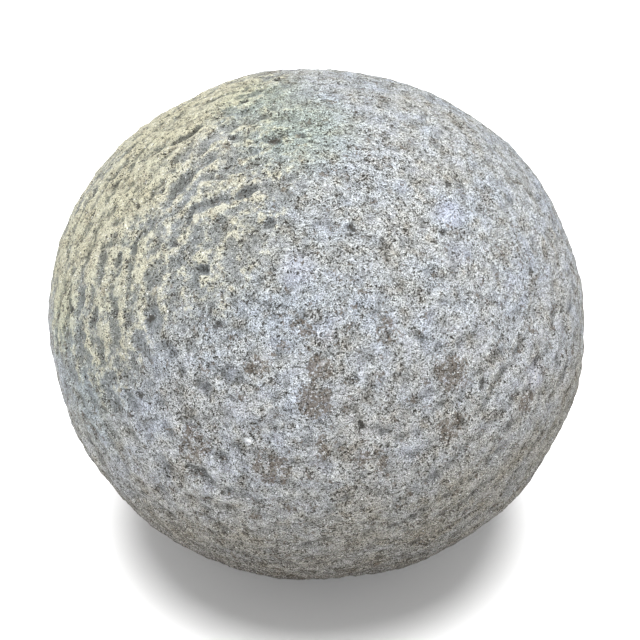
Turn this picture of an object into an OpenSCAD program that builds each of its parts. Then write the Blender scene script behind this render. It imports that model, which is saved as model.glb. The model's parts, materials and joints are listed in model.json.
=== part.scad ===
// Hand-dressed stone ball: one solid block of grey stone, worked round with a
// hammer and a point, slightly flattened and leaning, with a flat bed under it
// so that it stands without rolling. The bed lies on z = 0 and the front is -Y.

/* [Ball] */
// Widest measure of the ball, left to right
ball_w = 380; // [240:5:600]
// Measure from front to back
ball_d = 374; // [240:2:600]
// Height from the resting bed to the crown
ball_h = 350; // [220:5:560]
// Lean of the flattened axis towards the right, in degrees
lean = 5; // [0:1:10]

/* [Resting bed] */
// Diameter of the flat that the ball stands on
bed_dia = 110; // [60:5:150]

/* [Dressing] */
// Scale on the depth of the broad flats that the hammer left
flat_scale = 1; // [0:0.25:2]
// Crispness of the turn from a flat to the round: higher is sharper
crispness = 90; // [40:10:160]

/* [Mesh] */
// Facets around the girth
girth_facets = 92; // [48:4:104]
// Rings of facets from the crown down to the underside's middle
rings = 46; // [24:2:56]

/* [Hidden] */

stone_grey = [0.67, 0.68, 0.67];

// Broad flats: azimuth from the front towards the right, elevation above the
// horizon, both in degrees, and depth below the ideal round.
flats = [
  // around the outline, as seen from the front
  [-70, -6, 3.0], [-56, -24, 1.2], [-76, 14, 1.0], [-119, 60, 2.2],
  [178, 74, 2.0], [138, 70, 1.8], [112, 56, 1.2], [88, 26, 1.4],
  [78, 6, 1.8], [62, -18, 2.4], [40, -36, 0.8], [8, -46, 1.0],
  // on the front
  [-52, 44, 2.4], [-34, 12, 1.2], [20, 8, 0.8], [48, 22, 1.4], [8, 42, 1.4],
  [12, -26, 1.2],
  // at the sides and the back
  [-112, 4, 2.0], [-148, 24, 1.6], [-158, -18, 2.4], [176, 8, 1.2],
  [146, 30, 2.2], [138, -12, 1.4], [108, -22, 2.4], [-128, -34, 1.6],
  [-100, -48, 1.0], [172, -40, 1.8], [96, -50, 1.2],
];

// Semi-axes of the ideal round, and the height of its centre above the bed
semi_x = ball_w / 2;
semi_y = ball_d / 2;
bed_drop = sqrt(1 - pow(bed_dia / ball_w, 2));
semi_z = ball_h / (1 + bed_drop);
centre_z = semi_z * bed_drop;

function direction(azimuth, elevation) =
  [sin(azimuth) * cos(elevation), -cos(azimuth) * cos(elevation), sin(elevation)];

// A vector as the leaning round sees it
function leaning(v) =
  [v.x * cos(lean) - v.z * sin(lean), v.y, v.x * sin(lean) + v.z * cos(lean)];

// Distance from the centre to the ideal round's tangent plane that faces n
function tangent(n) =
  let (q = leaning(n)) norm([q.x * semi_x, q.y * semi_y, q.z * semi_z]);

// semi_x over the distance from the centre to the ideal round along v
function round_gauge(v) =
  let (q = leaning(v)) semi_x * norm([q.x / semi_x, q.y / semi_y, q.z / semi_z]);

// The same for a flat: the dot product with v gives semi_x over its distance
flat_normals = [
  for (f = flats)
    let (n = direction(f[0], f[1]))
      n * semi_x / (tangent(n) - f[2] * flat_scale)
];

// Distance from the centre to the dressed surface along v: the round and the
// flats blended by a power mean, which keeps the ball convex
function reach(v) =
  let (powers = [for (n = flat_normals) pow(max(0, n * v), crispness)])
    semi_x / pow(pow(round_gauge(v), crispness) + powers * [for (p = powers) 1],
                 1 / crispness);

// Point of the dressed surface on ring i at facet j, from the ball's centre
function surface_point(i, j) =
  let (v = direction(j * 360 / girth_facets, 90 - i * 180 / rings)) v * reach(v);

raw_points = [
  surface_point(0, 0),
  for (i = [1 : rings - 1], j = [0 : girth_facets - 1]) surface_point(i, j),
  surface_point(rings, 0),
];

// Stretches the points by a hair so that the dressed ball measures exactly
// ball_w by ball_d by ball_h, and centres it over the origin
function fitted(points) =
  let (
    xs = [for (p = points) p.x],
    ys = [for (p = points) p.y],
    zs = [for (p = points) p.z],
    stretch_x = ball_w / (max(xs) - min(xs)),
    stretch_y = ball_d / (max(ys) - min(ys)),
    stretch_z = (ball_h - centre_z) / max(zs)
  )
    [for (p = points)
       [
         (p.x - min(xs)) * stretch_x - ball_w / 2,
         (p.y - min(ys)) * stretch_y - ball_d / 2,
         p.z * stretch_z + centre_z,
       ]];

function ring_point(i, j) = 1 + (i - 1) * girth_facets + j % girth_facets;

// The whole dressed round, before the bed is cut
module dressed_round() {
  last_ring = rings - 1;
  lowest = 1 + last_ring * girth_facets;
  steps = [0 : girth_facets - 1];

  crown = [for (j = steps) [0, ring_point(1, j + 1), ring_point(1, j)]];
  sides = [for (i = [1 : last_ring - 1], j = steps, upper = [true, false])
             upper
             ? [ring_point(i, j), ring_point(i, j + 1), ring_point(i + 1, j)]
             : [ring_point(i, j + 1), ring_point(i + 1, j + 1), ring_point(i + 1, j)]];
  base = [for (j = steps) [lowest, ring_point(last_ring, j), ring_point(last_ring, j + 1)]];

  polyhedron(points = fitted(raw_points), faces = concat(crown, sides, base));
}

module stone_ball() {
  color(stone_grey)
    difference() {
      dressed_round();
      // the resting bed, cut level
      translate([-ball_w, -ball_d, -ball_h])
        cube([2 * ball_w, 2 * ball_d, ball_h]);
    }
}

stone_ball();
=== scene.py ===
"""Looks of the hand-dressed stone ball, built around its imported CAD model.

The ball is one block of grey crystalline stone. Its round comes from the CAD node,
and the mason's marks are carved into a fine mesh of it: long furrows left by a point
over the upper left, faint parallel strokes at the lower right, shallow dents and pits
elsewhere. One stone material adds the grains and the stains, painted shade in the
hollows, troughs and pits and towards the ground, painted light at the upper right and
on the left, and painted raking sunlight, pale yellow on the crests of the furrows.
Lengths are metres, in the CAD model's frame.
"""
import itertools
import json
import math

import bmesh
import bpy
import numpy as np
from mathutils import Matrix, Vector, noise
from mathutils.bvhtree import BVHTree

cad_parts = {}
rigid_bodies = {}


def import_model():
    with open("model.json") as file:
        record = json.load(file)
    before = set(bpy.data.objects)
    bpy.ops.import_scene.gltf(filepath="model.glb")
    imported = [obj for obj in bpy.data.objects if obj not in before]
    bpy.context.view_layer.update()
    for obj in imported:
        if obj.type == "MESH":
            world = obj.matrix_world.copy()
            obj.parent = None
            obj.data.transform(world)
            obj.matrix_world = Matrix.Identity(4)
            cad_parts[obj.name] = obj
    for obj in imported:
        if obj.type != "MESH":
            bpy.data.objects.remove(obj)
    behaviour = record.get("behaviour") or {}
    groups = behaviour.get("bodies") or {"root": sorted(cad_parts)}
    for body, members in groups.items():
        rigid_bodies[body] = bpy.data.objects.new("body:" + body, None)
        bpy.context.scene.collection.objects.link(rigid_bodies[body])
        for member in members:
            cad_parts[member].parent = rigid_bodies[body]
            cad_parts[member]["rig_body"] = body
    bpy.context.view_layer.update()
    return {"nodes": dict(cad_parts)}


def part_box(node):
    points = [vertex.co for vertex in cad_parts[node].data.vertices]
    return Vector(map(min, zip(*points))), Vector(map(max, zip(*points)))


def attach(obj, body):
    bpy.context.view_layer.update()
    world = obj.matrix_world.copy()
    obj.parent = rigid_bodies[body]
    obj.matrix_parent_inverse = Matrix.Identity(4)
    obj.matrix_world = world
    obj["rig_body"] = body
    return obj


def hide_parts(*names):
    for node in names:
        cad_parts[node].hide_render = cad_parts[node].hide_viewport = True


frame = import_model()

MM = 0.001
CAD_NODE = "stone_ball"
PIECE = "dressed_ball"
SLOT = "dressed_stone"
SEED = 41

low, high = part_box(CAD_NODE)
ball_height = high.z - low.z
ball_width = high.x - low.x
mean_radius = (ball_width + ball_height) / 4

# The point that the ball is round about lies a little below half its height
centre = Vector((0, 0, ball_height * 0.489))

# The camera: degrees above the horizon, lens and sensor in mm, distance from the
# ball's middle, and how far the aim lies from it to the right and down
camera_elevation = 30
lens = 60
sensor = 36
camera_distance = 771 * MM
aim_right = 2.2 * MM
aim_down = 2.6 * MM


def direction(azimuth, elevation):
    """Unit vector at degrees from the front towards the right, and above the horizon."""
    a, e = math.radians(azimuth), math.radians(elevation)
    return np.array([math.sin(a) * math.cos(e), -math.cos(a) * math.cos(e), math.sin(e)])


def linear(red, green, blue):
    """A colour of 0 to 255 as the eye sees it, in the linear values that nodes take."""
    values = np.array([red, green, blue]) / 255
    low_part = values / 12.92
    high_part = ((values + 0.055) / 1.055) ** 2.4
    return (*np.where(values <= 0.04045, low_part, high_part).tolist(), 1)


def grey(value):
    """The stone's own grey, very slightly blue."""
    return linear(value - 0.8, value, value + 0.7)


# ---------------------------------------------------------------- the fine round


# Triangles along each side of the icosahedron's faces. 99 gives 196,020 in all, with
# sides of about 2.3 mm, and more than 200,000 would be thinned when they are exported.
mesh_frequency = 99


def icosahedron():
    """Corners and outward faces of an icosahedron."""
    golden = (1 + math.sqrt(5)) / 2
    corners = np.array(
        [
            corner
            for a in (-1, 1)
            for b in (-golden, golden)
            for corner in ((0, a, b), (a, b, 0), (b, 0, a))
        ],
        float,
    )
    edge = 2.0
    faces = []
    for i, j, k in itertools.combinations(range(len(corners)), 3):
        a, b, c = corners[[i, j, k]]
        sides = [np.linalg.norm(a - b), np.linalg.norm(b - c), np.linalg.norm(c - a)]
        if max(sides) < edge * 1.01:
            outward = np.dot(np.cross(b - a, c - a), a) > 0
            faces.append((i, j, k) if outward else (i, k, j))
    return corners / np.linalg.norm(corners[0]), faces


def geodesic(frequency):
    """Unit directions and triangles of an evenly spread sphere mesh."""
    corners, faces = icosahedron()
    edge_angle = math.acos(np.dot(corners[faces[0][0]], corners[faces[0][1]]))
    steps = [(i, j) for i in range(frequency + 1) for j in range(frequency + 1 - i)]
    index = {step: n for n, step in enumerate(steps)}
    shares = np.array([(frequency - i - j, i, j) for i, j in steps]) / frequency
    weights = np.sin(shares * edge_angle)
    grid = []
    for i, j in steps:
        if i + j < frequency:
            grid.append((index[i, j], index[i + 1, j], index[i, j + 1]))
        if i + j < frequency - 1:
            grid.append((index[i + 1, j], index[i + 1, j + 1], index[i, j + 1]))
    grid = np.array(grid)
    points = np.concatenate([weights @ corners[list(face)] for face in faces])
    triangles = np.concatenate([grid + n * len(steps) for n in range(len(faces))])
    points /= np.linalg.norm(points, axis=1, keepdims=True)
    rounded = np.round(points, 6)
    _, first, merged = np.unique(rounded, axis=0, return_index=True, return_inverse=True)
    return points[first], merged.reshape(-1)[triangles]


class Round:
    """The ball's fine mesh as directions from its centre, with sums over neighbours."""

    def __init__(self, frequency):
        self.directions, self.triangles = geodesic(frequency)
        self.starts = self.triangles.reshape(-1)
        self.ends = np.roll(self.triangles, -1, axis=1).reshape(-1)
        self.count = np.bincount(self.starts, minlength=len(self.directions))

    def spread(self, values, times):
        """values averaged with their neighbours' over and over."""
        for _ in range(times):
            sums = np.bincount(self.starts, values[self.ends], len(values))
            values = (values + sums) / (1 + self.count)
        return values


def cad_reach(directions):
    """Distance from the centre to the CAD surface along each direction."""
    mesh = frame["nodes"][CAD_NODE].data
    tree = BVHTree.FromPolygons(
        [v.co for v in mesh.vertices], [p.vertices for p in mesh.polygons]
    )
    return np.array([tree.ray_cast(centre, Vector(d))[3] for d in directions])


def noise_at(points, size, offset, octaves=1):
    """Smooth noise of about -1 to 1 at each point, with lumps of the given size."""
    places = points / size + offset
    if octaves == 1:
        return np.array([noise.noise(Vector(p)) for p in places])
    return np.array([noise.fractal(Vector(p), 0.9, 2.0, octaves) for p in places])


# ---------------------------------------------------------------- places on the ball


def around(directions, azimuth, elevation, radius, soft):
    """1 within radius mm of a place on the ball, falling to 0 over soft mm."""
    place = direction(azimuth, elevation)
    away = np.linalg.norm(directions - place, axis=-1) * mean_radius / MM
    return np.clip((radius + soft - away) / soft, 0, 1)


def zone(directions, places):
    """The strongest of several soft patches: azimuth, elevation, radius, softness, strength."""
    total = np.zeros(directions.shape[:-1])
    for azimuth, elevation, radius, soft, strength in places:
        patch = strength * around(directions, azimuth, elevation, radius, soft)
        total = np.maximum(total, patch)
    return total


# Where each kind of stroke was used
furrow_places = [
    (-66, 38, 45, 45, 1.0),
    (-86, 62, 45, 45, 0.5),
    (-50, 28, 45, 35, 1.0),
    (-44, 17, 25, 30, 0.9),
    (-35, 48, 35, 35, 0.9),
    (-27, 36, 12, 25, 0.7),
    (-115, 52, 40, 60, 0.8),
    (-132, 22, 35, 70, 0.7),
]
striation_places = [
    (40, -8, 70, 50, 1.0),
    (62, 12, 30, 40, 0.6),
    (20, 8, 20, 40, 0.7),
    (0, -22, 60, 40, 0.7),
    (128, 24, 60, 60, 1.0),
    (-95, -12, 40, 50, 0.8),
]
scallop_places = [(-34, 2, 60, 40, 1.0), (172, 8, 70, 50, 1.0), (95, 30, 30, 40, 0.7)]
slant_places = [(45, 22, 75, 60, 1.0)]

# Where the stone's colour differs from its usual grey, and where painted light lies on it
# Painted raking sunlight: pale yellow on the furrows' crests over the upper left
painted_sunlight_places = [
    (-66, 45, 25, 45, 1.0),
    (-82, 58, 25, 45, 1.0),
    (-92, 69, 20, 40, 0.95),
    (-98, 50, 25, 75, 0.85),
    (-90, 32, 10, 60, 0.7),
    (-69, 33, 20, 40, 1.0),
    (-66, 20, 12, 35, 1.0),
    (-77, 25, 16, 40, 1.0),
    (-50, 31, 22, 45, 0.75),
    (-47, 19, 15, 35, 0.6),
    (-36, 46, 30, 55, 0.45),
    (-31, 62, 20, 50, 0.4),
    (-25, 37, 12, 30, 0.4),
]
brown_places = [
    (0, 16, 7, 5, 1.0),
    (14, 28, 6, 5, 0.7),
    (6, 31, 5, 5, 0.6),
    (-3, 29, 4, 5, 0.6),
    (26, 18, 8, 5, 0.9),
    (25, 8, 6, 5, 0.8),
    (10, 4, 6, 6, 0.6),
    (2, 7, 6, 5, 0.6),
    (-23, 5, 7, 6, 0.7),
    (-8, 3, 8, 6, 0.8),
    (43, 7, 5, 4, 0.9),
    (-11, 22, 4, 4, 0.7),
    (1, 22, 6, 3, 0.9),
]
blue_places = [
    (-4, 39, 5, 8, 1.0),
    (38, 46, 4, 8, 1.0),
    (35, 38, 3, 7, 0.7),
    (46, 11, 4, 8, 0.9),
    (2, 28, 3, 5, 0.6),
]
green_places = [
    (-11, 70, 15, 30, 1.0),
    (-53, 76, 12, 30, 1.0),
    (-62, 14, 6, 30, 0.8),
    (-50, 5, 10, 40, 0.5),
]
# Painted light: lighter at the upper right and on the left
painted_light_places = [(48, 46, 45, 70, 1.0), (-74, 8, 25, 50, 1.0)]
quartz_places = [(-12, 8, 1.0, 1.0, 0.9), (1, 23, 0.3, 1.2, 0.6), (-24, 22, 0.3, 1.2, 0.6)]


# ---------------------------------------------------------------- the mason's marks


class Stroke:
    """The usual mark of one kind of dressing: sizes in mm, sway in degrees."""

    def __init__(self, length, width, depth, sway):
        self.values = np.array([length, width, depth, sway], float)


furrow = Stroke(34, 13, 1.7, 12)
striation = Stroke(34, 8, 1.1, 10)
scallop = Stroke(32, 21, 2.7, 18)
dent = Stroke(22, 15, 0.9, 60)
stroke_count = 1400

# The mason's strokes run in rings around this place on the front of the ball, except
# on the right, where they are parallel and climb at slant_tilt degrees
stroke_pole = direction(0, 30)
slant_tilt = 36

# Small holes where grains broke out: how many, their least and greatest width, and
# the greatest depth
pit_count = 460
pit_widths = (3.5 * MM, 6.5 * MM)
pit_depth = 1.6 * MM

# Single deep cuts: azimuth, elevation, tilt as seen from the stroke pole, then
# length, width and depth in mm
placed_cuts = [
    (-22, 53, 12, 18, 8, 4.5),
    (-12, 47, 30, 8, 7, 3.5),
    (-26, 37, 0, 9, 7, 4.0),
    (-35, 46, 80, 18, 5, 4.5),
    (-47, 37, 75, 16, 5, 4.0),
    (-50, 33, 85, 14, 5, 4.0),
    (-45, 51, 55, 26, 17, 4.0),
    (-63, 60, 35, 24, 12, 4.0),
]

# The roughness that the strokes leave, as size and height: broad swells, knobs that
# stand highest among the furrows, and fine lines along the strokes
swell_size, swell_height = 9 * MM, 0.8 * MM
knob_size, knob_height = 4.5 * MM, 1.3 * MM
line_length, line_width, line_height = 22 * MM, 4.5 * MM, 0.3 * MM

# The waves that make the edges of all cuts uneven: size, and how far they sway
waves = ((15 * MM, 2.8 * MM), (5 * MM, 1.1 * MM))

# How far the dressed surface is let out, to lie on the CAD surface on average
let_out = 0.4 * MM


def seen_heading(place, tilt):
    """Unit vector along the ball at a place, at degrees from level seen from the pole."""
    right = np.array([1.0, 0, 0])
    up = np.cross(stroke_pole, right)
    wanted = right * math.cos(math.radians(tilt)) + up * math.sin(math.radians(tilt))
    along = wanted - place * np.dot(wanted, place)
    return along / np.linalg.norm(along)


# Across the slanted strokes, in the ball's own space
slant_across = np.cross(stroke_pole, seen_heading(stroke_pole, slant_tilt))


def stroke_heading(place, slanted):
    """Unit vector along the strokes at a place, where slanted is 0 for rings, 1 for slanted."""
    ring = np.cross(stroke_pole, place)
    ring /= np.linalg.norm(ring) + 1e-9
    slant = seen_heading(place, slant_tilt)
    if np.dot(ring, slant) < 0:
        ring = -ring
    heading = ring * (1 - slanted) + slant * slanted
    return heading / (np.linalg.norm(heading) + 1e-9)


def spread_places(count, rng):
    """Directions spread evenly over the ball, each nudged a little."""
    turn = math.pi * (3 - math.sqrt(5))
    n = np.arange(count)
    z = 1 - 2 * (n + 0.5) / count
    ring = np.sqrt(1 - z * z)
    places = np.stack([ring * np.cos(n * turn), ring * np.sin(n * turn), z], axis=1)
    places += rng.normal(0, 0.6 / math.sqrt(count), places.shape)
    return places / np.linalg.norm(places, axis=1, keepdims=True)


def carve(depths, directions, place, heading, length, width, deepest):
    """Cuts one long scoop into depths, which are measured inward in metres."""
    side = np.cross(place, heading)
    reach = 0.6 * length / mean_radius
    near = np.nonzero(directions @ place > math.cos(reach))[0]
    along = directions[near] @ heading * mean_radius / (length / 2)
    across = directions[near] @ side * mean_radius / (width / 2)
    scoop = deepest * (1 - np.abs(along) ** 3 - across ** 2)
    depths[near] = np.maximum(depths[near], scoop)


def carve_strokes(depths, directions, rng):
    """The point's strokes all over, shaped by the zone they lie in."""
    places = spread_places(stroke_count, rng)
    furrowed = zone(places, furrow_places)
    striated = zone(places, striation_places) * (1 - furrowed)
    scalloped = zone(places, scallop_places) * (1 - furrowed)
    plain = 1 - np.maximum(furrowed, np.maximum(striated, scalloped))
    shares = np.stack([furrowed, striated, scalloped, plain], axis=1)
    shares /= shares.sum(axis=1, keepdims=True)
    kinds = np.stack([kind.values for kind in (furrow, striation, scallop, dent)])
    wanted = shares @ kinds
    slanted = zone(places, slant_places)
    for place, slant, (length, width, depth, sway) in zip(places, slanted, wanted):
        heading = stroke_heading(place, slant)
        side = np.cross(place, heading)
        turn = math.radians(rng.normal(0, sway))
        heading = heading * math.cos(turn) + side * math.sin(turn)
        length *= rng.uniform(0.7, 1.3) * MM
        width *= rng.uniform(0.8, 1.2) * MM
        depth *= rng.uniform(0.6, 1.2) * MM
        carve(depths, directions, place, heading, length, width, depth)


def carve_placed_cuts(depths, directions):
    for azimuth, elevation, tilt, length, width, depth in placed_cuts:
        place = direction(azimuth, elevation)
        heading = seen_heading(place, tilt)
        carve(depths, directions, place, heading, length * MM, width * MM, depth * MM)


def pits(directions, rng):
    """Depths of the small holes where grains broke out."""
    depths = np.zeros(len(directions))
    for place in spread_places(pit_count, rng):
        heading = seen_heading(place, rng.uniform(0, 180))
        width = rng.uniform(*pit_widths)
        length = width * rng.uniform(1, 1.8)
        deepest = pit_depth * rng.uniform(0.1, 1) ** 2
        carve(depths, directions, place, heading, length, width, deepest)
    return depths


def lineation(directions):
    """Noise drawn out along the strokes, of about -1 to 1."""
    ring = np.arccos(np.clip(directions @ stroke_pole, -1, 1))
    slant = directions @ slant_across
    slanted = zone(directions, slant_places)
    total = 0
    for across, share in ((ring, 1 - slanted), (slant, slanted)):
        places = directions * mean_radius / line_length
        places[:, 1] = across * mean_radius / line_width
        total = total + share * noise_at(places, 1, 0, octaves=2)
    return total


def swayed(directions):
    """The directions moved to and fro by waves, so that what is cut there is uneven."""
    points = directions * mean_radius
    shift = 0
    for size, sway in waves:
        parts = [noise_at(points, size, offset) for offset in (3.1, 17.7, 29.3)]
        shift = shift + sway * np.stack(parts, axis=1)
    moved = directions + shift / mean_radius
    return moved / np.linalg.norm(moved, axis=1, keepdims=True)


def dressed_depths(directions):
    """How far the dressed surface lies below the CAD surface, and its pits' own depths."""
    rng = np.random.default_rng(SEED)
    points = directions * mean_radius
    uneven = swayed(directions)
    depths = np.zeros(len(directions))
    carve_strokes(depths, uneven, rng)
    carve_placed_cuts(depths, uneven)
    depths -= swell_height * noise_at(points, swell_size, 51.9, octaves=3)
    knobs = np.abs(noise_at(points, knob_size, 71.3, octaves=2))
    roughness = 0.4 + 0.5 * zone(directions, furrow_places)
    depths -= roughness * knob_height * (knobs - 0.25)
    holes = pits(uneven, rng)
    depths -= line_height * lineation(directions)
    return depths + holes - let_out, holes


# ---------------------------------------------------------------- the mesh


# How many times neighbours are averaged to smooth the CAD surface's facets away, and
# to find the level that broad crests, and small ones, stand above
facet_smoothing = 12
crest_smoothing = 25
fine_crest_smoothing = 4


def add_attribute(mesh, name, values):
    attribute = mesh.attributes.new(name, "FLOAT", "POINT")
    attribute.data.foreach_set("value", np.asarray(values, np.float32))


def bedded(points, directions):
    """The points, with those below the floor drawn in along their directions onto it."""
    below = points[:, 2] < 0
    to_floor = centre.z / directions[below, 2:3]
    points[below] = np.array(centre) - directions[below] * to_floor
    return points


def make_ball():
    """The carved ball, with what its material has to know at each point."""
    fine_round = Round(mesh_frequency)
    directions = fine_round.directions
    reach = fine_round.spread(cad_reach(directions), facet_smoothing)
    depths, holes = dressed_depths(directions)
    points = np.array(centre) + directions * (reach - depths)[:, None]
    mesh = bpy.data.meshes.new(PIECE)
    mesh.from_pydata(
        bedded(points, directions).tolist(), [], fine_round.triangles.tolist()
    )
    mesh.shade_smooth()

    # in mm: above 0 on crests and below 0 in hollows
    level = fine_round.spread(depths, crest_smoothing)
    add_attribute(mesh, "crest", (level - depths) / MM)
    fine_level = fine_round.spread(depths, fine_crest_smoothing)
    add_attribute(mesh, "fine_crest", (fine_level - depths) / MM)
    add_attribute(mesh, "pit", holes / MM)

    # shares of 0 to 1
    add_attribute(mesh, "furrowed", zone(directions, furrow_places))
    add_attribute(mesh, "slanted", zone(directions, slant_places))
    # painted raking sunlight at the upper left
    add_attribute(mesh, "painted_sunlight", zone(directions, painted_sunlight_places))
    add_attribute(mesh, "brown", zone(directions, brown_places))
    add_attribute(mesh, "blue", zone(directions, blue_places))
    add_attribute(mesh, "green", zone(directions, green_places))
    # painted light at the upper right and on the left
    add_attribute(mesh, "painted_light", zone(directions, painted_light_places))
    add_attribute(mesh, "quartz", zone(directions, quartz_places))
    ball = bpy.data.objects.new(PIECE, mesh)
    bpy.context.collection.objects.link(ball)
    return ball


# ---------------------------------------------------------------- node calls


class Graph:
    """Short calls that add nodes to one material."""

    def __init__(self, name):
        self.material = bpy.data.materials.new(name)
        self.material.use_nodes = True
        self.tree = self.material.node_tree
        self.shader = self.tree.nodes["Principled BSDF"]
        coordinates = self.tree.nodes.new("ShaderNodeTexCoord")
        self.place = coordinates.outputs["Object"]

    def plug(self, value, socket):
        """Links a node's output to the socket, or sets the socket to a plain value."""
        if isinstance(value, bpy.types.NodeSocket):
            self.tree.links.new(value, socket)
        else:
            socket.default_value = value

    def attribute(self, name):
        node = self.tree.nodes.new("ShaderNodeAttribute")
        node.attribute_name = name
        return node.outputs["Fac"]

    def math(self, operation, *values):
        node = self.tree.nodes.new("ShaderNodeMath")
        node.operation = operation
        for value, socket in zip(values, node.inputs):
            self.plug(value, socket)
        return node.outputs[0]

    def add(self, a, b):
        return self.math("ADD", a, b)

    def subtract(self, a, b):
        return self.math("SUBTRACT", a, b)

    def multiply(self, a, b):
        return self.math("MULTIPLY", a, b)

    def scale_add(self, value, factor, rest):
        """value times factor, plus rest."""
        return self.math("MULTIPLY_ADD", value, factor, rest)

    def greatest(self, first, *others):
        for other in others:
            first = self.math("MAXIMUM", first, other)
        return first

    def step(self, value, start, end):
        """0 below start and 1 above end, or the other way round if end is the lower."""
        node = self.tree.nodes.new("ShaderNodeMapRange")
        node.interpolation_type = "SMOOTHSTEP"
        self.plug(value, node.inputs["Value"])
        node.inputs["From Min"].default_value = min(start, end)
        node.inputs["From Max"].default_value = max(start, end)
        node.inputs["To Min"].default_value = 0 if start < end else 1
        node.inputs["To Max"].default_value = 1 if start < end else 0
        return node.outputs["Result"]

    def height(self):
        """Height above the floor."""
        node = self.tree.nodes.new("ShaderNodeSeparateXYZ")
        self.plug(self.place, node.inputs[0])
        return node.outputs["Z"]

    def dot(self, a, b):
        node = self.tree.nodes.new("ShaderNodeVectorMath")
        node.operation = "DOT_PRODUCT"
        self.plug(a, node.inputs[0])
        node.inputs[1].default_value = b
        return node.outputs["Value"]

    def from_centre(self):
        """The direction from the ball's centre to the point."""
        offset = self.tree.nodes.new("ShaderNodeVectorMath")
        offset.operation = "SUBTRACT"
        self.plug(self.place, offset.inputs[0])
        offset.inputs[1].default_value = centre
        unit = self.tree.nodes.new("ShaderNodeVectorMath")
        unit.operation = "NORMALIZE"
        self.plug(offset.outputs[0], unit.inputs[0])
        return unit.outputs[0]

    def noise(self, size, detail, roughness=0.5):
        """Smooth noise with lumps of the given size in metres, mostly 0.3 to 0.7."""
        node = self.tree.nodes.new("ShaderNodeTexNoise")
        node.inputs["Scale"].default_value = 1 / size
        node.inputs["Detail"].default_value = detail
        node.inputs["Roughness"].default_value = roughness
        self.plug(self.place, node.inputs["Vector"])
        return node.outputs["Fac"]

    def drawn_out(self, across, width, length):
        """Noise drawn out to length, and of the given width where across runs in metres."""
        node = self.tree.nodes.new("ShaderNodeTexNoise")
        node.noise_dimensions = "4D"
        node.inputs["Scale"].default_value = 1 / length
        node.inputs["Detail"].default_value = 2
        self.plug(self.place, node.inputs["Vector"])
        self.plug(self.multiply(across, length / width), node.inputs["W"])
        return node.outputs["Fac"]

    def streaks(self, width, length):
        """Noise drawn out along the mason's strokes."""
        turn = self.math("ARCCOSINE", self.dot(self.from_centre(), stroke_pole))
        rings = self.drawn_out(self.multiply(turn, mean_radius), width, length)
        slants = self.drawn_out(self.dot(self.place, slant_across), width, length)
        return self.scale_add(self.attribute("slanted"), self.subtract(slants, rings), rings)

    def ramp(self, value, *stops):
        """A colour that runs through (position, colour) stops."""
        node = self.tree.nodes.new("ShaderNodeValToRGB")
        elements = node.color_ramp.elements
        while len(elements) < len(stops):
            elements.new(1.0)
        for element, (position, colour) in zip(elements, stops):
            element.position = position
            element.color = colour
        self.plug(value, node.inputs["Fac"])
        return node.outputs["Color"]

    def mix(self, share, a, b, blend="MIX"):
        """Colour a turned towards b, or blended with it, by share."""
        node = self.tree.nodes.new("ShaderNodeMix")
        node.data_type = "RGBA"
        node.blend_type = blend
        self.plug(share, node.inputs[0])
        self.plug(a, node.inputs[6])
        self.plug(b, node.inputs[7])
        return node.outputs[2]

    def tint(self, colour, tint, share=1.0):
        """The colour seen through a tint, by share."""
        return self.mix(share, colour, tint, "MULTIPLY")

    def bump(self, height, distance):
        node = self.tree.nodes.new("ShaderNodeBump")
        node.inputs["Strength"].default_value = 1.0
        node.inputs["Distance"].default_value = distance
        self.plug(height, node.inputs["Height"])
        return node.outputs["Normal"]


# ---------------------------------------------------------------- the stone


# Sizes of what the stone is made of, and of what lies on it
sparkle_size = 0.45 * MM
grain_size = 0.62 * MM
clump_size = 2.0 * MM
lump_size = 5 * MM
fleck_size = 1.3 * MM
dot_size = 0.9 * MM
speck_size = 1.8 * MM
crowd_size = 9 * MM
dirt_size = 7 * MM
dirt_break_size = 1.9 * MM
# Size of the breaks in the painted sunlight's ragged edge
painted_sunlight_break_size = 2.5 * MM
drift_size = 28 * MM
bump_height = 1.8 * MM

# Colours that take the grey stone's place
soil = linear(66, 60, 52)
brown_dirt = linear(88, 77, 65)
# Painted blue-grey shade in the furrows' troughs
trough_shade_blue = linear(144, 149, 154)
inclusion_blue = linear(182, 189, 212)
# Pale yellow of the painted sunlight on the crests
sunlit_cream_colour = linear(228, 223, 200)
# Dark of the specks and cracks, and painted shade in the pits
dark_and_pit_shade = linear(52, 49, 44)
dot_dark = linear(34, 31, 27)
quartz_white = linear(238, 240, 243)

# Tints that the stone is seen through
green_tint = linear(244, 255, 250)
# Painted shade on the furrows outside the painted sunlight
furrow_shade_tint = linear(228, 229, 231)
# Painted warm sunlight over the upper left, and its pale yellow on the crests
painted_sunlight_tint = linear(213, 210, 188)
sunlit_cream_tint = linear(255, 253, 240)

# Soil and painted ground shade are level across this axis: they rise higher on the ball's right
soil_and_shade_axis = (-0.20, 0, 1)


def matrix_layers(g):
    """Crystals, clumps of them, and both mixed with sparkle and streaks along the strokes."""
    grains = g.noise(grain_size, detail=2, roughness=0.7)
    clumps = g.noise(clump_size, detail=3, roughness=0.65)
    sparkle = g.noise(sparkle_size, detail=1)
    streaks = g.streaks(1.4 * MM, 4 * MM)
    matrix = g.scale_add(grains, 0.5, g.scale_add(clumps, 0.16, -0.18))
    matrix = g.scale_add(sparkle, 0.52, matrix)
    return grains, clumps, g.scale_add(streaks, 0.18, matrix)


def crystal_colour(g, matrix, lumps):
    """The greys of the crystals, darker in some lumps of them."""
    colour = g.ramp(
        matrix,
        (0.370, linear(76, 74, 69)),
        (0.430, linear(142, 142, 139)),
        (0.472, linear(181, 182, 181)),
        (0.524, grey(203)),
        (0.568, grey(220)),
        (0.620, grey(243)),
    )
    shade = g.ramp(lumps, (0.33, grey(200)), (0.45, grey(241)), (0.62, grey(252)))
    return g.tint(colour, shade)


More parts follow.
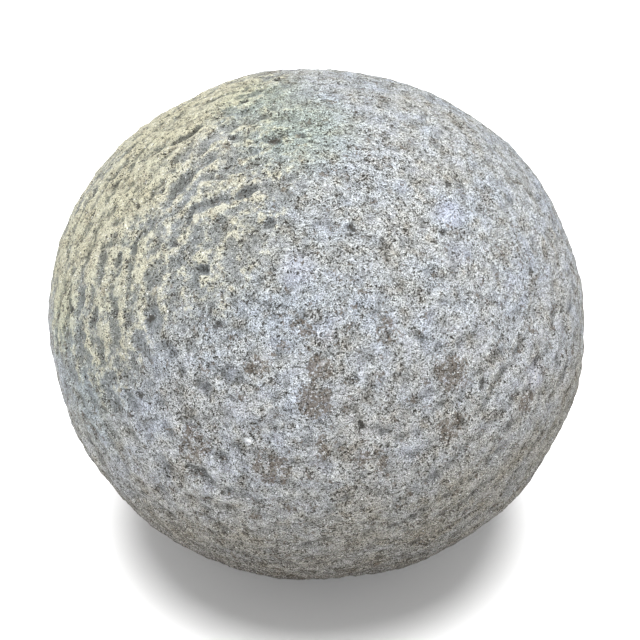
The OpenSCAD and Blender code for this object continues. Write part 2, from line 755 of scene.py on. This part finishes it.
def shaded_hollows(g, colour):
    """Painted shade: hollows of the relief are darker than its crests."""
    hollow_shade_level = g.scale_add(g.attribute("crest"), 0.22, 0.6)
    hollow_shade_level = g.scale_add(g.attribute("fine_crest"), 0.5, hollow_shade_level)
    shade = g.ramp(
        hollow_shade_level,
        (0.00, grey(158)),
        (0.35, grey(214)),
        (0.60, grey(238)),
        (1.00, grey(250)),
    )
    return g.tint(colour, shade)


def weathered_with_painted_light_and_shade(g, colour):
    """Broad drifts of tone, painted light at the upper right and on the left, and soil and
    painted shade that thicken towards the ground.
    """
    drift = g.ramp(
        g.noise(drift_size, detail=3, roughness=0.6),
        (0.34, linear(247, 245, 240)),
        (0.48, linear(251, 252, 252)),
        (0.62, linear(245, 249, 255)),
    )
    colour = g.tint(colour, drift)
    # Painted light: outside its places the stone is a little darker
    outside_painted_light = g.tint(colour, grey(243))
    colour = g.mix(g.attribute("painted_light"), outside_painted_light, colour)
    warmth = g.ramp(
        g.noise(crowd_size, detail=2),
        (0.34, linear(242, 237, 230)),
        (0.44, linear(252, 252, 251)),
        (0.56, linear(251, 252, 254)),
        (0.66, linear(248, 249, 255)),
    )
    colour = g.tint(colour, warmth)
    # Soil and painted ground shade: darker towards the bottom
    soil_and_ground_shade = g.ramp(
        g.math("DIVIDE", g.dot(g.place, soil_and_shade_axis), ball_height),
        (0.02, linear(158, 150, 138)),
        (0.20, linear(215, 208, 196)),
        (0.36, linear(225, 218, 205)),
        (0.50, linear(254, 251, 246)),
        (0.63, linear(253, 253, 253)),
        (0.77, linear(246, 248, 249)),
        (0.97, linear(255, 255, 252)),
    )
    return g.tint(colour, soil_and_ground_shade)


def tinted_patches(g, colour):
    """Blue-grey inclusions, and a faint green cast."""
    colour = g.mix(g.multiply(g.attribute("blue"), 0.3), colour, inclusion_blue)
    return g.tint(colour, green_tint, g.attribute("green"))


def soiled(g, colour, matrix, low_down):
    """Soil between the crystals near the ground."""
    soil_line = g.scale_add(g.attribute("crest"), 0.03, matrix)
    share = g.multiply(low_down, g.step(soil_line, 0.515, 0.465))
    return g.mix(g.multiply(share, 0.78), colour, soil)


def dirtied(g, colour, broken, low_down):
    """Brown dirt in broken patches, most of them at the brown places."""
    patch = g.scale_add(low_down, 0.05, g.noise(dirt_size, detail=3, roughness=0.7))
    patch = g.scale_add(g.attribute("brown"), 0.24, patch)
    share = g.multiply(g.step(patch, 0.58, 0.66), g.step(broken, 0.36, 0.50))
    return g.mix(g.multiply(share, 0.74), colour, brown_dirt)


def shaded_troughs(g, colour, painted_sunlight):
    """Painted blue-grey shade in the furrows' troughs, less of it under the painted sunlight.
    """
    trough_shade = g.multiply(g.step(g.attribute("crest"), 0.2, -0.8), g.attribute("furrowed"))
    share = g.multiply(trough_shade, g.scale_add(painted_sunlight, -0.3, 0.5))
    return g.mix(share, colour, trough_shade_blue)


def painted_sunlight_on_crests(g, colour, painted_sunlight):
    """Painted raking sunlight: pale yellow that is thickest on the crests and has a ragged
    edge.
    """
    # Painted shade on the furrows outside the painted sunlight
    furrow_shade = g.multiply(g.attribute("furrowed"), g.subtract(1.0, painted_sunlight))
    colour = g.tint(colour, furrow_shade_tint, furrow_shade)
    colour = g.tint(colour, painted_sunlight_tint, painted_sunlight)
    ragged = g.scale_add(g.noise(painted_sunlight_break_size, detail=3, roughness=0.6), 6.0, -3.0)
    level = g.scale_add(painted_sunlight, 3.2, -1.9)
    level = g.scale_add(g.attribute("crest"), 0.8, level)
    level = g.scale_add(g.attribute("fine_crest"), 2.2, level)
    cover = g.step(g.add(level, ragged), -0.9, 1.6)
    sunlit_crest_colour = g.mix(0.3, g.tint(colour, sunlit_cream_tint), sunlit_cream_colour)
    return g.mix(g.multiply(cover, g.step(painted_sunlight, 0.05, 0.3)), colour, sunlit_crest_colour)


def crevice_share(g):
    """1 in the thin broken cracks between crystals, 0 elsewhere."""
    streaks = g.multiply(g.streaks(2 * MM, 7 * MM), 0.5)
    field = g.scale_add(g.noise(2.6 * MM, detail=2), 0.5, streaks)
    line = g.step(g.math("ABSOLUTE", g.subtract(field, 0.5)), 0.024, 0.008)
    return g.multiply(line, g.step(g.noise(5 * MM, detail=2), 0.46, 0.52))


def dark_marks(g, low_down):
    """Shares of the dark specks, small dots and crevices. The first two crowd in places."""
    crowding = g.scale_add(g.noise(crowd_size, detail=2), -0.27, g.multiply(low_down, 0.08))
    specks = g.step(g.add(g.noise(speck_size, detail=2), crowding), 0.48, 0.51)
    dots = g.step(g.add(g.noise(dot_size, detail=1), crowding), 0.49, 0.515)
    return specks, dots, crevice_share(g)


def darkened(g, colour, broken, specks, dots, crevices):
    """Dark specks, cracks, dirt and painted shade in the deep middles of pits, and darker dots.
    """
    # Dirt and painted shade in the pits
    pit_dirt_and_shade_level = g.scale_add(broken, 2.4, g.add(g.attribute("pit"), -1.6))
    pit_dirt_and_shade = g.step(pit_dirt_and_shade_level, 0.0, 0.9)
    dark = g.greatest(specks, pit_dirt_and_shade, g.multiply(crevices, 0.6))
    colour = g.mix(g.multiply(dark, 0.85), colour, dark_and_pit_shade)
    return g.mix(g.multiply(dots, 0.85), colour, dot_dark)


def flecked(g, colour, low_down):
    """White quartz flecks, duller near the ground, and a few large ones."""
    flecks = g.step(g.noise(fleck_size, detail=1), 0.68, 0.74)
    clean = g.scale_add(low_down, -0.4, 0.5)
    white = g.greatest(g.multiply(flecks, clean), g.attribute("quartz"))
    return g.mix(white, colour, quartz_white)


def stone_material():
    g = Graph(SLOT)
    low_down = g.step(g.height(), 0.42 * ball_height, 0.12 * ball_height)
    # Painted raking sunlight over the upper left
    painted_sunlight = g.attribute("painted_sunlight")
    grains, clumps, matrix = matrix_layers(g)
    lumps = g.noise(lump_size, detail=3, roughness=0.65)
    broken = g.noise(dirt_break_size, detail=2)
    specks, dots, crevices = dark_marks(g, low_down)

    colour = crystal_colour(g, matrix, lumps)
    # Painted shade in the hollows
    colour = shaded_hollows(g, colour)
    # Drifts of tone, painted light, and soil with painted ground shade
    colour = weathered_with_painted_light_and_shade(g, colour)
    colour = tinted_patches(g, colour)
    colour = soiled(g, colour, matrix, low_down)
    colour = dirtied(g, colour, broken, low_down)
    # Painted shade in the furrows' troughs
    colour = shaded_troughs(g, colour, painted_sunlight)
    # Painted raking sunlight, pale yellow on the crests
    colour = painted_sunlight_on_crests(g, colour, painted_sunlight)
    # Dark specks and cracks, and dirt and painted shade in the pits
    colour = darkened(g, colour, broken, specks, dots, crevices)
    colour = flecked(g, colour, low_down)
    g.plug(colour, g.shader.inputs["Base Color"])

    g.plug(g.scale_add(grains, 0.3, 0.75), g.shader.inputs["Roughness"])
    g.shader.inputs["Specular IOR Level"].default_value = 0.25
    raised = g.add(matrix, g.add(clumps, lumps))
    sunk = g.multiply(g.add(g.add(specks, dots), crevices), 0.6)
    normal = g.bump(g.subtract(raised, sunk), bump_height)
    g.plug(normal, g.shader.inputs["Normal"])
    return g.material


# ---------------------------------------------------------------- floor, light, camera


floor_half_width = 6
dome_radius = 9


def plain_material(name):
    """A new material, and its shader."""
    material = bpy.data.materials.new(name)
    material.use_nodes = True
    return material, material.node_tree.nodes["Principled BSDF"]


def make_floor():
    half = floor_half_width
    corners = [(-half, -half, 0), (half, -half, 0), (half, half, 0), (-half, half, 0)]
    mesh = bpy.data.meshes.new("floor")
    mesh.from_pydata(corners, [], [(0, 1, 2, 3)])
    material, shader = plain_material("pale_floor")
    shader.inputs["Base Color"].default_value = (0.78, 0.78, 0.78, 1)
    shader.inputs["Roughness"].default_value = 0.9
    shader.inputs["Specular IOR Level"].default_value = 0.1
    mesh.materials.append(material)
    floor = bpy.data.objects.new("floor", mesh)
    bpy.context.collection.objects.link(floor)


def make_backdrop():
    """A white dome that the camera sees behind the floor's edge, and no other ray meets."""
    mesh = bpy.data.meshes.new("backdrop")
    shape = bmesh.new()
    bmesh.ops.create_uvsphere(shape, u_segments=48, v_segments=24, radius=dome_radius)
    shape.to_mesh(mesh)
    shape.free()
    material, shader = plain_material("white_backdrop")
    shader.inputs["Base Color"].default_value = (0, 0, 0, 1)
    shader.inputs["Emission Color"].default_value = (1, 1, 1, 1)
    shader.inputs["Emission Strength"].default_value = 1
    mesh.materials.append(material)
    backdrop = bpy.data.objects.new("backdrop", mesh)
    bpy.context.collection.objects.link(backdrop)
    backdrop.visible_diffuse = False
    backdrop.visible_glossy = False
    backdrop.visible_transmission = False
    backdrop.visible_shadow = False


def soft_lamp(name, place, spread, strength):
    """A far-off lamp, spread degrees wide, that shines from place towards the ball's centre."""
    lamp = bpy.data.lights.new(name, "SUN")
    lamp.angle = math.radians(spread)
    lamp.energy = strength
    holder = bpy.data.objects.new(name, lamp)
    facing = (centre - Vector(place)).to_track_quat("-Z", "Y")
    holder.rotation_euler = facing.to_euler()
    bpy.context.collection.objects.link(holder)


def make_light():
    world = bpy.data.worlds.new("studio")
    world.use_nodes = True
    background = world.node_tree.nodes["Background"]
    background.inputs["Color"].default_value = (1, 1, 1, 1)
    background.inputs["Strength"].default_value = 0.5
    bpy.context.scene.world = world
    soft_lamp("overhead", place=(0, 0, 5), spread=45, strength=8.6)
    soft_lamp("front", place=(-0.6, -3.0, 1.6), spread=35, strength=1.5)


def make_camera():
    elevation = math.radians(camera_elevation)
    back = Vector(direction(0, camera_elevation))
    right = Vector((1, 0, 0))
    up = back.cross(right)
    middle = Vector((0, 0, ball_height / 2))
    aim = middle + right * aim_right - up * aim_down
    lens_data = bpy.data.cameras.new("camera")
    lens_data.lens = lens
    lens_data.sensor_width = sensor
    camera = bpy.data.objects.new("camera", lens_data)
    camera.location = aim + back * camera_distance
    camera.rotation_euler = (math.pi / 2 - elevation, 0, 0)
    bpy.context.collection.objects.link(camera)
    bpy.context.scene.camera = camera


make_camera()
make_light()
make_floor()
make_backdrop()
bpy.context.scene.view_settings.view_transform = "Standard"

ball = make_ball()
ball.data.materials.append(stone_material())
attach(ball, frame["nodes"][CAD_NODE]["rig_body"])
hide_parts(CAD_NODE)
